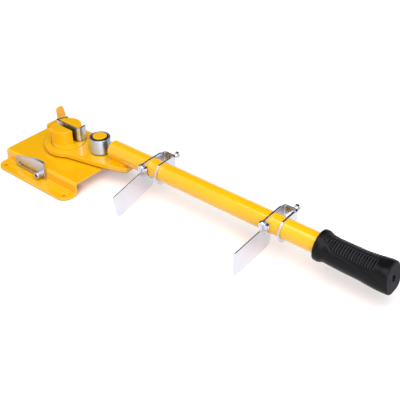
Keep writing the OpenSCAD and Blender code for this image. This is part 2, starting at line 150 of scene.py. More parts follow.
def add_object(name: str, data: bpy.types.ID) -> Item:
    """Makes an object from its data, puts it in the scene and returns it."""
    item = bpy.data.objects.new(name, data)
    bpy.context.scene.collection.objects.link(item)
    return item


def aim(item: Item, eye: Triple, target: Triple) -> None:
    """Puts a camera or lamp at a place and points it at another."""
    item.location = eye
    ahead = Vector(target) - Vector(eye)
    item.rotation_euler = ahead.to_track_quat("-Z", "Y").to_euler()


@dataclass
class Draft:
    """Points and faces of one mesh while it is being built, in millimetres."""

    points: list[Vector] = field(default_factory=list)
    faces: list[tuple[int, ...]] = field(default_factory=list)

    def ring(self, points: Iterable[Sequence[float]]) -> list[int]:
        """Adds points.

        Args:
            points: Places in millimetres.

        Returns:
            The new points' numbers, in order.
        """
        start = len(self.points)
        self.points.extend(Vector(p) for p in points)
        return list(range(start, len(self.points)))

    def circle(self, r: float, z: float, steps: int) -> list[int]:
        """Adds a circle about the local Z axis and returns its points' numbers."""
        turn = [2 * math.pi * i / steps for i in range(steps)]
        return self.ring((r * math.cos(a), r * math.sin(a), z) for a in turn)

    def bridge(self, low: list[int], high: list[int]) -> None:
        """Joins two closed rings of equal length with four-sided faces.

        Args:
            low: Numbers of the first ring.
            high: Numbers of the second ring.
        """
        count = len(low)
        for i in range(count):
            j = (i + 1) % count
            self.faces.append((low[i], low[j], high[j], high[i]))

    def loft(self, rings: list[list[int]]) -> None:
        """Joins each ring to the next one."""
        for low, high in zip(rings, rings[1:]):
            self.bridge(low, high)

    def fan(self, ring: list[int], tip: Sequence[float]) -> None:
        """Closes a ring with triangles to one point.

        Args:
            ring: Numbers of the ring.
            tip: Place of the point.
        """
        top = self.ring([tip])[0]
        for i, n in enumerate(ring):
            self.faces.append((n, ring[(i + 1) % len(ring)], top))

    def cap(self, ring: list[int]) -> None:
        """Closes a ring with triangles to its middle."""
        self.fan(ring, sum((self.points[n] for n in ring), Vector()) / len(ring))

    def fill(self, loops: list[list[int]]) -> None:
        """Fills a flat region that an outer loop and its holes bound.

        Args:
            loops: Numbers of each loop.
        """
        order = [n for loop in loops for n in loop]
        flat = [[self.points[n] for n in loop] for loop in loops]
        for a, b, c in tessellate_polygon(flat):
            self.faces.append((order[a], order[b], order[c]))

    def plate(self, loops: list[list[Pair]], low: float, high: float, rounding: Sequence[float],
              steps: int = 5) -> None:
        """Adds a flat plate with rounded edges.

        Args:
            loops: Outlines from above, each with the plate on its left.
            low: Height of the lower face.
            high: Height of the upper face.
            rounding: Radius of the edges of each outline.
            steps: Faces across a rounded edge.
        """
        bottom: list[list[int]] = []
        top: list[list[int]] = []
        for loop, radius in zip(loops, rounding):
            turn = [math.pi / 2 * k / steps for k in range(steps + 1)]
            rows = [(radius * (1 - math.sin(a)), low + radius * (1 - math.cos(a))) for a in turn]
            rows += [(d, high + low - z) for d, z in reversed(rows)]
            rings = [self.ring((x, y, z) for x, y in inset(loop, d)) for d, z in rows]
            self.loft(rings)
            bottom.append(rings[0])
            top.append(rings[-1])
        self.fill(bottom)
        self.fill(top)

    def lathe(self, profile: Sequence[Pair], steps: int = 96) -> None:
        """Turns a profile about the local Z axis.

        Args:
            profile: Radius and height of each point. Radius 0 closes an end, and a profile whose
                ends meet makes a ring.
            steps: Points round the axis.
        """
        rings = [self.circle(r, z, steps) for r, z in profile if r > TINY]
        self.loft(rings)
        ends = ((rings[0], profile[0]), (rings[-1], profile[-1]))
        for ring, (r, z) in ends:
            if r <= TINY:
                self.fan(ring, (0, 0, z))
        if all(r > TINY for _, (r, _) in ends):
            self.bridge(rings[-1], rings[0])

    def thread(self, radius: float, pitch: float, low: float, high: float, steps: int = 24) -> None:
        """Adds a threaded rod along the local Z axis, closed at both ends.

        Args:
            radius: Radius over the crests.
            pitch: Distance from crest to crest.
            low: Start of the rod.
            high: End of the rod.
            steps: Points round the axis.
        """
        depth = THREAD_DEPTH * pitch
        rows = max(4, round((high - low) / pitch * THREAD_ROWS))
        last: list[int] = []
        for k in range(rows + 1):
            z = low + (high - low) * k / rows
            lead = min(1.0, min(z - low, high - z) / pitch)
            ring = []
            for i in range(steps):
                a = 2 * math.pi * i / steps
                phase = (z / pitch - i / steps) % 1.0
                r = radius - depth * abs(2 * phase - 1) - THREAD_LEAD * pitch * (1 - lead)
                ring.append((r * math.cos(a), r * math.sin(a), z))
            now = self.ring(ring)
            if last:
                self.bridge(last, now)
            else:
                self.fan(now, (0, 0, low))
            last = now
        self.fan(last, (0, 0, high))

    def hexagon(self, flats: float, low: float, high: float, bore: float = 0.0,
                both: bool = False) -> None:
        """Adds a hexagon head or nut along the local Z axis, chamfered to curved corners.

        Args:
            flats: Width across flats.
            low: Lower face.
            high: Upper face.
            bore: Radius of the bore, or 0 for a solid head.
            both: Whether the lower face is chamfered too.
        """
        turned = flats / 2 * HEX_TURNED
        corner = [2 * math.pi * i / HEX_STEPS for i in range(HEX_STEPS)]
        reach = [flats / 2 / math.cos(a % (math.pi / 3) - math.pi / 6) for a in corner]

        def disc(r: float, z: float) -> list[int]:
            """Adds a circle and returns its numbers."""
            return self.circle(r, z, HEX_STEPS)

        def rim(z: float, side: int) -> list[int]:
            """Adds the curved edge between flats and chamfer and returns its numbers."""
            drop = [side * max(0.0, r - turned) * HEX_FALL for r in reach]
            return self.ring((r * math.cos(a), r * math.sin(a), z - d)
                             for r, a, d in zip(reach, corner, drop))

        lower = [disc(turned, low), rim(low, -1)] if both else [rim(low, 0)]
        rings = lower + [rim(high, 1), disc(turned, high)]
        if bore:
            wide, deep = NUT_LEAD
            rings += [disc(bore + wide, high), disc(bore, high - deep), disc(bore, low + deep),
                      disc(bore + wide, low)]
        self.loft(rings)
        if bore:
            self.bridge(rings[-1], rings[0])
        else:
            self.fan(rings[0], (0, 0, low))
            self.fan(rings[-1], (0, 0, high))

    def make(self, name: str, place: Matrix | None = None, sharp: float = FLAT_ANGLE) -> Item:
        """Makes the mesh object.

        Args:
            name: Name of the object.
            place: Where the local frame stands in the row's frame, in millimetres.
            sharp: Edges that turn by more than this angle stay sharp.

        Returns:
            The new object, in metres, with smooth shading and weighted normals.
        """
        move = place or Matrix.Identity(4)
        mesh = bpy.data.meshes.new(name)
        mesh.from_pydata([(move @ p) * MM for p in self.points], [], self.faces)
        draft = bmesh.new()
        draft.from_mesh(mesh)
        bmesh.ops.remove_doubles(draft, verts=draft.verts, dist=1e-7)
        bmesh.ops.recalc_face_normals(draft, faces=draft.faces)
        draft.to_mesh(mesh)
        draft.free()
        mesh.polygons.foreach_set("use_smooth", [True] * len(mesh.polygons))
        mesh.set_sharp_from_angle(angle=sharp)
        piece = add_object(name, mesh)
        normals = piece.modifiers.new("even_normals", "WEIGHTED_NORMAL")
        normals.keep_sharp = True
        return piece


def fillet(corners: Sequence[Triple], steps: int = 5) -> list[Pair]:
    """Rounds the corners of an open outline.

    Args:
        corners: Two coordinates and a radius for each corner. The ends keep their places.
        steps: Segments in each rounded corner.

    Returns:
        The outline's points.
    """
    out: list[Pair] = [(corners[0][0], corners[0][1])]
    for before, here, after in zip(corners, corners[1:], corners[2:]):
        p = Vector(here[:2])
        a = (Vector(before[:2]) - p).normalized()
        b = (Vector(after[:2]) - p).normalized()
        half = a.angle(b, math.pi) / 2
        if here[2] <= 0 or half > math.pi / 2 - 1e-3:
            out.append((p.x, p.y))
            continue
        reach = here[2] / math.tan(half)
        middle = p + (a + b).normalized() * here[2] / math.sin(half)
        start = p + a * reach - middle
        end = p + b * reach - middle
        for i in range(steps + 1):
            t = i / steps
            span = start.angle(end)
            w0, w1 = math.sin((1 - t) * span), math.sin(t * span)
            spot = middle + (start * w0 + end * w1) / math.sin(span)
            out.append((spot.x, spot.y))
    out.append((corners[-1][0], corners[-1][1]))
    return out


def inset(loop: Sequence[Pair], reach: float) -> list[Pair]:
    """Moves a closed outline to its left by an even distance.

    Args:
        loop: Points of the outline.
        reach: The distance.

    Returns:
        The moved points.
    """
    out: list[Pair] = []
    count = len(loop)
    for i in range(count):
        before, here, after = (Vector(loop[(i + k) % count]) for k in (-1, 0, 1))
        a, b = (here - before).normalized(), (after - here).normalized()
        left = Vector((-a.y - b.y, a.x + b.x)) / (1 + a.dot(b))
        out.append((here.x + left.x * reach, here.y + left.y * reach))
    return out


def top_loops(node: Item, height: float) -> list[list[Pair]]:
    """Finds the outlines of a packed plate's top face.

    Args:
        node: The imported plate.
        height: Height of its top face in millimetres.

    Returns:
        The outlines, each with the plate on its left, the longest first.
    """
    mesh = node.data
    places = [v.co / MM for v in mesh.vertices]
    edges: set[tuple[Pair, Pair]] = set()
    for face in mesh.polygons:
        corners = [places[n] for n in face.vertices]
        if all(abs(c.z - height) < 1e-3 for c in corners):
            spots = [(round(c.x, 3), round(c.y, 3)) for c in corners]
            edges.update(zip(spots, spots[1:] + spots[:1]))
    border = {a: b for a, b in edges if (b, a) not in edges and a != b}
    loops: list[list[Pair]] = []
    while border:
        start = min(border)
        loop, step = [start], border.pop(start)
        while step != start:
            loop.append(step)
            step = border.pop(step)
        loops.append(loop)
    return sorted(loops, key=lambda points: -max(x for x, _ in points) + min(x for x, _ in points))


def soften(node: Item, width: float, segments: int = 3) -> None:
    """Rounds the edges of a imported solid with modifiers, and leaves its own mesh as it is.

    Args:
        node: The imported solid.
        width: Width of the rounding in millimetres.
        segments: Faces across the rounding.
    """
    mesh = node.data
    for name in ("custom_normal", "sharp_face", "sharp_edge"):
        layer = mesh.attributes.get(name)
        if layer:
            mesh.attributes.remove(layer)
    mesh.polygons.foreach_set("use_smooth", [True] * len(mesh.polygons))
    join = node.modifiers.new("join_faces", "WELD")
    join.merge_threshold = JOIN_REACH
    flats = node.modifiers.new("whole_flats", "DECIMATE")
    flats.decimate_type = "DISSOLVE"
    flats.angle_limit = SAME_FLAT
    edges = node.modifiers.new("round_edges", "BEVEL")
    edges.width = width * MM
    edges.segments = segments
    edges.limit_method = "ANGLE"
    edges.angle_limit = ROUND_ANGLE
    edges.use_clamp_overlap = False
    edges.miter_outer = "MITER_ARC"
    normals = node.modifiers.new("even_normals", "WEIGHTED_NORMAL")
    normals.keep_sharp = True


class Board:
    """Adds and joins the nodes of one shader tree."""

    def __init__(self, tree: bpy.types.NodeTree) -> None:
        """Starts on the node tree that it fills."""
        self.tree = tree

    def add(self, kind: str, **settings: object) -> bpy.types.Node:
        """Adds a node.

        Args:
            kind: Blender's name of the node type, without the prefix ShaderNode.
            **settings: Attributes of the node, set by name.

        Returns:
            The new node.
        """
        node = self.tree.nodes.new("ShaderNode" + kind)
        for name, value in settings.items():
            setattr(node, name, value)
        return node

    def link(self, source: Socket, target: Socket) -> None:
        """Joins an output to an input."""
        self.tree.links.new(source, target)

    def feed(self, socket: Socket, value: object) -> None:
        """Joins an output to an input, or sets a plain value there."""
        if isinstance(value, Socket):
            self.link(value, socket)
        else:
            socket.default_value = value

    def fill(self, node: bpy.types.Node, values: dict[str, object]) -> bpy.types.Node:
        """Feeds a node's inputs.

        Args:
            node: The node.
            values: Sockets or plain values, by the names of the inputs.

        Returns:
            The node.
        """
        for name, value in values.items():
            self.feed(node.inputs[name], value)
        return node

    def group(self, tree: bpy.types.NodeTree, **values: object) -> bpy.types.Node:
        """Adds a node group, feeds its inputs and returns it."""
        return self.fill(self.add("Group", node_tree=tree), values)

    def spot(self) -> Socket:
        """Returns the place on the piece, in the piece's own coordinates."""
        return self.add("TexCoord").outputs["Object"]

    def noise(self, spot: Socket, **values: object) -> Socket:
        """Adds a Noise Texture at a place, feeds its inputs and returns its value."""
        return self.fill(self.add("TexNoise"), {"Vector": spot, **values}).outputs[0]

    def shut_in(self, reach: object, own: bool = False) -> Socket:
        """Adds an Ambient Occlusion node.

        Args:
            reach: How far away a face still counts, as a socket or in metres.
            own: Whether only the piece's own faces count.

        Returns:
            A value that is 1 in the open and falls in shut-in places.
        """
        node = self.add("AmbientOcclusion", samples=SHADE_RAYS, only_local=own)
        return self.fill(node, {"Distance": reach}).outputs["AO"]

    def math(self, operation: str, first: object, second: object) -> Socket:
        """Adds a Math node.

        Args:
            operation: Blender's name of the operation.
            first: A socket or a number.
            second: A socket or a number.

        Returns:
            The node's output.
        """
        node = self.add("Math", operation=operation)
        for socket, value in zip(node.inputs, (first, second)):
            self.feed(socket, value)
        return node.outputs[0]

    def span(self, value: Socket, low: float, high: float, out_low: object,
             out_high: object) -> Socket:
        """Adds a Map Range node.

        Args:
            value: The value to map.
            low: Start of its range.
            high: End of its range.
            out_low: Result at the start, a number or a socket.
            out_high: Result at the end, a number or a socket.

        Returns:
            The node's output.
        """
        node = self.add("MapRange", interpolation_type="SMOOTHSTEP")
        self.fill(node, {"Value": value, "From Min": low, "From Max": high, "To Min": out_low,
                         "To Max": out_high})
        return node.outputs[0]

    def blend(self, mask: Socket, low: object, high: object) -> Socket:
        """Adds a colour Mix node.

        Args:
            mask: Share of the second colour.
            low: First colour, as a socket or linear values.
            high: Second colour, as a socket or linear values.

        Returns:
            The mixed colour.
        """
        node = self.add("Mix", data_type="RGBA")
        self.link(mask, node.inputs[0])
        for number, colour in zip(MIX_COLOURS, (low, high)):
            plain = not isinstance(colour, Socket)
            self.feed(node.inputs[number], (*colour, 1) if plain else colour)
        return node.outputs[MIX_RESULT]


def new_material(name: str) -> tuple[bpy.types.Material, Board, bpy.types.Node]:
    """Starts a material.

    Args:
        name: Name of the material.

    Returns:
        The material, a board on its tree and its main shader.
    """
    material = bpy.data.materials.new(name)
    material.use_nodes = True
    tree = material.node_tree
    return material, Board(tree), tree.nodes["Principled BSDF"]


def new_group(name: str, inputs: dict[str, float], outputs: Sequence[str]) -> tuple[
        Board, dict[str, Socket], bpy.types.Node]:
    """Starts a shader node group whose sockets are single values.

    Args:
        name: Name of the group.
        inputs: Names of the inputs with their usual values.
        outputs: Names of the outputs.

    Returns:
        A board on the group's tree, the inputs inside the group by name, and its output node.
    """
    tree = bpy.data.node_groups.new(name, "ShaderNodeTree")
    for key, value in inputs.items():
        socket = tree.interface.new_socket(key, in_out="INPUT", socket_type="NodeSocketFloat")
        socket.default_value = value
    for key in outputs:
        tree.interface.new_socket(key, in_out="OUTPUT", socket_type="NodeSocketFloat")
    board = Board(tree)
    entry = tree.nodes.new("NodeGroupInput")
    out = tree.nodes.new("NodeGroupOutput")
    return board, {key: entry.outputs[key] for key in inputs}, out


class Effects:
    """Shader effects that several finishes share, each built once as a node group.

    Each span says where in its raw value an effect starts and where it is full.
    """

    CLOUD_SPAN: Pair = (0.3, 0.7)
    CLOUD_ROUGH: float = 0.4
    EDGE_SPAN: Pair = (0.97, 0.8)
    PATCH_SPAN: Pair = (0.35, 0.65)
    PATCH_LEAST: float = 0.25
    LINE_SPAN: Pair = (0.45, 0.7)
    SHUT_SPAN: Pair = (0.85, 0.30)

    def __init__(self) -> None:
        """Builds the groups."""
        self.clouds = self._clouds()
        self.grain = self._grain()
        self.edges = self._edge_wear_and_highlight()
        self.lines = self._lines()
        # Masks for painted shade: in a piece's own corners, and in the gaps between neighbouring parts.
        self.corners = self._painted_shade("painted_shade_corners", True)
        self.gaps = self._painted_shade("painted_shade_gaps", False)

    @staticmethod
    def _clouds() -> bpy.types.NodeTree:
        """Returns the group of wide soft patches: handling marks and uneven gloss."""
        board, take, out = new_group("soft_patches", {"Size": 40.0, "Low": 0.3, "High": 0.4}, ["Value"])
        noise = board.noise(board.spot(), Scale=take["Size"], Detail=1, Roughness=Effects.CLOUD_ROUGH)
        value = board.span(noise, *Effects.CLOUD_SPAN, take["Low"], take["High"])
        board.link(value, out.inputs["Value"])
        return board.tree

    @staticmethod
    def _grain() -> bpy.types.NodeTree:
        """Returns the group of fine grain: orange peel in paint, pores in rubber."""
        board, take, out = new_group("fine_grain", {"Size": 800.0, "Detail": 2.0}, ["Height"])
        noise = board.noise(board.spot(), Scale=take["Size"], Detail=take["Detail"])
        board.link(noise, out.inputs["Height"])
        return board.tree

    @staticmethod
    def _edge_wear_and_highlight() -> bpy.types.NodeTree:
        """Returns the group that finds the edges, where the lighter edge colour is partly wear and partly a
        painted highlight.
        """
        board, take, out = new_group("edge_wear_and_highlight", {"Radius": 0.0012, "Breakup": 140.0}, ["Mask"])
        rounded = board.add("Bevel", samples=4)
        board.link(take["Radius"], rounded.inputs["Radius"])
        shape = board.add("NewGeometry")
        turn = board.add("VectorMath", operation="DOT_PRODUCT")
        board.link(rounded.outputs[0], turn.inputs[0])
        board.link(shape.outputs["Normal"], turn.inputs[1])
        edge = board.span(turn.outputs["Value"], *Effects.EDGE_SPAN, 0.0, 1.0)
        noise = board.noise(board.spot(), Scale=take["Breakup"])
        patch = board.span(noise, *Effects.PATCH_SPAN, Effects.PATCH_LEAST, 1.0)
        board.link(board.math("MULTIPLY", edge, patch), out.inputs["Mask"])
        return board.tree

    @staticmethod
    def _lines() -> bpy.types.NodeTree:
        """Returns the group of drawn lines that rolling or grinding leaves in metal."""
        board, take, out = new_group("drawn_lines", {"Along": 30.0, "Across": 900.0}, ["Height", "Mask"])
        stretch = board.add("CombineXYZ")
        board.fill(stretch, {"X": take["Across"], "Y": take["Across"], "Z": take["Along"]})
        scaled = board.add("VectorMath", operation="MULTIPLY")
        board.link(board.spot(), scaled.inputs[0])
        board.link(stretch.outputs[0], scaled.inputs[1])
        noise = board.noise(scaled.outputs[0], Scale=1, Detail=3)
        board.link(noise, out.inputs["Height"])
        board.link(board.span(noise, *Effects.LINE_SPAN, 0.0, 1.0), out.inputs["Mask"])
        return board.tree

    @staticmethod
    def _painted_shade(name: str, own: bool) -> bpy.types.NodeTree:
        """Builds the group that finds shut-in places, where the finish gets painted shade.

        Args:
            name: Name of the group.
            own: Whether only the piece's own faces shut a place in, and not its neighbours.

        Returns:
            The group.
        """
        board, take, out = new_group(name, {"Reach": 0.006}, ["Mask"])
        shut = board.shut_in(take["Reach"], own)
        board.link(board.span(shut, *Effects.SHUT_SPAN, 0.0, 1.0), out.inputs["Mask"])
        return board.tree


@dataclass(frozen=True)
class PaintedShade:
    """Painted shade that darkens the shut-in places of a finish, found by ambient occlusion. Its colour is 0
    to 255.
    """

    colour: Triple
    reach: float
    share: float
    by_neighbours: bool = False


@dataclass(frozen=True)
class Finish:
    """One surface finish with its own values for the shared effects. Colours are 0 to 255."""

    name: str
    slot: Slot
    colour: Triple
    shade: Triple
    edge: Triple
    metallic: float
    rough: Pair
    patch_size: float
    grain_size: float
    grain_depth: float
    edge_radius: float
    edge_share: float
    # Painted shade for the shut-in places of this finish, if any.
    painted_shade: PaintedShade | None = None
    lines: Pair | None = None
    coat: float = 0.0
    specular: float = 0.5
    brushed: float = 0.0

    def material(self, effects: Effects) -> bpy.types.Material:
        """Builds the material.

        Args:
            effects: The shared node groups.

        Returns:
            The new material.
        """
        material, board, shader = new_material(self.name)
        plain, shade, edge = (linear(c) for c in (self.colour, self.shade, self.edge))
        material.diffuse_color = (*plain, 1)
        board.fill(shader, {"Metallic": self.metallic, "Coat Weight": self.coat,
                            "Coat Roughness": COAT_ROUGH, "Specular IOR Level": self.specular,
                            "Anisotropic": self.brushed, "Anisotropic Rotation": BRUSH_TURN})

        patches = board.group(effects.clouds, Size=self.patch_size, Low=0.0, High=1.0)
        gloss = board.group(effects.clouds, Size=self.patch_size * GLOSS_SCALE, Low=self.rough[0],
                            High=self.rough[1])
        wear_and_highlight = board.group(effects.edges, Radius=self.edge_radius * MM)
        grain = board.group(effects.grain, Size=self.grain_size)

        body = board.blend(patches.outputs["Value"], plain, shade)
        # Lighter edge colour: partly edge wear, partly a painted highlight along the rounded edges.
        lighter_and_highlit = board.math("MULTIPLY", wear_and_highlight.outputs["Mask"], self.edge_share)
        colour = board.blend(lighter_and_highlit, body, edge)
        # Painted shade: the colour darkens towards the dark colour where the piece is shut in, by its own
        # faces or by its neighbours.
        if self.painted_shade:
            finder = effects.gaps if self.painted_shade.by_neighbours else effects.corners
            shut = board.group(finder, Reach=self.painted_shade.reach * MM)
            painted_shade_share = board.math("MULTIPLY", shut.outputs["Mask"], self.painted_shade.share)
            colour = board.blend(painted_shade_share, colour, linear(self.painted_shade.colour))
        rough = gloss.outputs["Value"]
        height = grain.outputs["Height"]
        if self.lines:
            drawn = board.group(effects.lines, Along=self.lines[0], Across=self.lines[1])
            rough = board.math("ADD", rough, board.math("MULTIPLY", drawn.outputs["Mask"], LINE_ROUGH))
            height = board.math("ADD", height, drawn.outputs["Height"])
        bump = board.add("Bump")
        board.fill(bump, {"Strength": 1.0, "Distance": self.grain_depth * MM, "Height": height})
        board.fill(shader, {"Base Color": colour, "Roughness": rough, "Normal": bump.outputs[0]})
        return material


# In each finish the third colour is the lighter edge colour, partly wear and partly a painted highlight, and
# the dark colour given for shut-in places is painted shade.
YELLOW_PAINT = Finish(
    "yellow_paint", Slot.PAINT, (253, 190, 8), (252, 186, 5), (255, 198, 20), 0.0, (0.22, 0.28), 16.0,
    620.0, 0.004, 1.0, 0.25, coat=1.0, specular=0.1)
# Painted shadow line for the lever plate's lower edge and the eye's bore, where the gaps are in shade.
SHADOW_LINE_PAINT = Finish(
    "painted_shadow_line", Slot.PAINT, (128, 70, 4), (112, 60, 3), (150, 90, 10), 0.0, (0.40, 0.50), 16.0,
    620.0, 0.006, 1.0, 0.2, specular=0.2)
WELD_PAINT = Finish(
    "weld_paint", Slot.PAINT, (255, 196, 10), (253, 190, 6), (255, 204, 30), 0.0, (0.45, 0.55), 16.0,
    620.0, 0.006, 1.0, 0.2, specular=0.08)
BARE_STEEL = Finish(
    "bare_steel", Slot.PAINT, (46, 40, 34), (36, 31, 26), (70, 64, 58), 0.0, (0.60, 0.75), 40.0,
    900.0, 0.020, 0.5, 0.2, specular=0.3)
ROLLER_CHROME = Finish(
    "roller_chrome", Slot.CHROME, (200, 212, 232), (193, 206, 227), (226, 232, 242), 1.0, (0.32, 0.38), 60.0,
    900.0, 0.001, 0.5, 0.3, PaintedShade((20, 17, 12), 10.0, 0.97, True), (900.0, 60.0), brushed=0.9)
LINER_CHROME = Finish(
    "liner_chrome", Slot.CHROME, (198, 204, 214), (190, 197, 208), (222, 227, 234), 1.0, (0.22, 0.27), 60.0,
    900.0, 0.001, 0.4, 0.0, PaintedShade((30, 24, 14), 12.0, 0.92, True), (900.0, 60.0), brushed=0.8)
ZINC = Finish(
    "bright_zinc", Slot.ZINC, (217, 220, 230), (211, 214, 226), (238, 240, 247), 1.0, (0.20, 0.25), 22.0,
    1400.0, 0.001, 0.4, 0.2, PaintedShade((96, 102, 122), 14.0, 0.5), (40.0, 700.0))
DULL_ZINC = Finish(
    "dull_zinc", Slot.ZINC, (196, 196, 205), (188, 188, 197), (222, 223, 230), 1.0, (0.26, 0.34), 22.0,
    1400.0, 0.002, 0.4, 0.2, PaintedShade((80, 80, 90), 8.0, 0.6), (40.0, 700.0), brushed=0.6)
STEEL = Finish(
    "oiled_steel", Slot.STEEL, (178, 180, 184), (150, 152, 158), (215, 216, 220), 1.0, (0.30, 0.45), 90.0,
    1100.0, 0.006, 0.5, 0.6, PaintedShade((40, 38, 36), 5.0, 0.8), (60.0, 600.0))
BRONZE = Finish(
    "bearing_bronze", Slot.BRONZE, (214, 172, 98), (190, 146, 78), (236, 202, 134), 1.0, (0.28, 0.42), 80.0,
    1000.0, 0.006, 0.5, 0.6, PaintedShade((52, 38, 20), 5.0, 0.8), (500.0, 80.0))
BLACK_RUBBER = Finish(
    "black_rubber", Slot.RUBBER, (13, 13, 16), (16, 16, 19), (30, 31, 35), 0.0, (0.30, 0.36), 45.0,
    2200.0, 0.010, 0.8, 0.3, PaintedShade((5, 5, 6), 3.0, 0.95), specular=0.13)
# Matt, lighter rubber for the grip's flat end and the rib crests; on the crests the lighter colour is a
# painted highlight.
LIT_MATT_RUBBER = Finish(
    "matt_rubber_highlight", Slot.RUBBER, (56, 55, 60), (50, 49, 54), (66, 65, 70), 0.0, (0.80, 0.90), 45.0,
    2200.0, 0.020, 0.8, 0.3, PaintedShade((5, 5, 6), 4.0, 0.9), specular=0.1)
FINISHES = (YELLOW_PAINT, SHADOW_LINE_PAINT, WELD_PAINT, BARE_STEEL, ROLLER_CHROME, LINER_CHROME, ZINC, DULL_ZINC,
            STEEL, BRONZE, BLACK_RUBBER, LIT_MATT_RUBBER)


@dataclass
class Workshop:
    """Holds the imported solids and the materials, and puts finishes on pieces."""

    nodes: dict[str, Item]
    materials: dict[Finish, bpy.types.Material]

    def dress(self, name: str, finish: Finish, edge: float, segments: int = 3) -> None:
        """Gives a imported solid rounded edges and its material.

        Args:
            name: The solid's node name.
            finish: Its finish.
            edge: Width of the rounded edges in millimetres.
            segments: Faces across the rounding.
        """
        node = self.nodes[name]
        soften(node, edge, segments)
        node.data.materials.clear()
        node.data.materials.append(self.materials[finish])
        log.info("dressed %s in %s", name, finish.name)

    def stand_in(self, piece: Item, finish: Finish, body: str, *nodes: str) -> None:
        """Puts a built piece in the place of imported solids.

        Args:
            piece: The built piece.
            finish: Its finish.
            body: The body that it moves with.
            *nodes: Node names of the solids that it stands for.
        """
        piece.data.materials.clear()
        piece.data.materials.append(self.materials[finish])
        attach(piece, body)
        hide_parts(*nodes)
        log.info("built %s for %s in %s", piece.name, ", ".join(nodes), finish.name)

    def second(self, piece: Item, finish: Finish,
               holds: Callable[[bpy.types.MeshPolygon], bool]) -> None:
        """Gives some faces of a built piece a second finish.

        Args:
            piece: The built piece.
            finish: The second finish.
            holds: Whether a face gets it.
        """
        piece.data.materials.append(self.materials[finish])
        for face in piece.data.polygons:
            if holds(face):
                face.material_index = 1


def place(x: float, y: float, z: float, along: Along = Along.UP) -> Matrix:
    """Returns the matrix of a local frame at a place, turned to a direction."""
    return Matrix.Translation((x, y, z)) @ along.turn()


def turned(name: str, outline: Sequence[Pair], steps: int, where: Matrix) -> Item:
    """Returns a piece that is turned about the local Z axis of a frame."""
    draft = Draft()
    draft.lathe(outline, steps)
    return draft.make(name, where)


@dataclass
class Base:
    """Folded base sheet, with the hidden fasteners that hold the post."""

    sheet_edge: float = 0.7
    bolt_edge: float = 0.5
    washer_edge: float = 0.2

    def build(self, shop: Workshop) -> None:
        """Dresses the base and its fasteners.

        Args:
            shop: Solids and materials.
        """
        shop.dress("base_plate", YELLOW_PAINT, self.sheet_edge)
        for name in ("post_bolt", "post_washer", "post_dowels", "lock_nut"):
            shop.dress(name, STEEL, self.bolt_edge, 2)
        shop.dress("thrust_washer", BRONZE, self.washer_edge, 2)


@dataclass
class Former:
    """Pivot post, rear former and the bright liner that the strip is bent round."""

    post_edge: float = 0.8
    block_edge: float = 0.7
    liner_edge: float = 0.15
    screw_edge: float = 0.3

    def build(self, shop: Workshop) -> None:
        """Dresses the post, former and liner.

        Args:
            shop: Solids and materials.
        """
        shop.dress("pivot_post", YELLOW_PAINT, self.post_edge)
        shop.dress("former", YELLOW_PAINT, self.block_edge)
        shop.dress("former_liner", LINER_CHROME, self.liner_edge)
        shop.dress("former_screws", STEEL, self.screw_edge, 2)


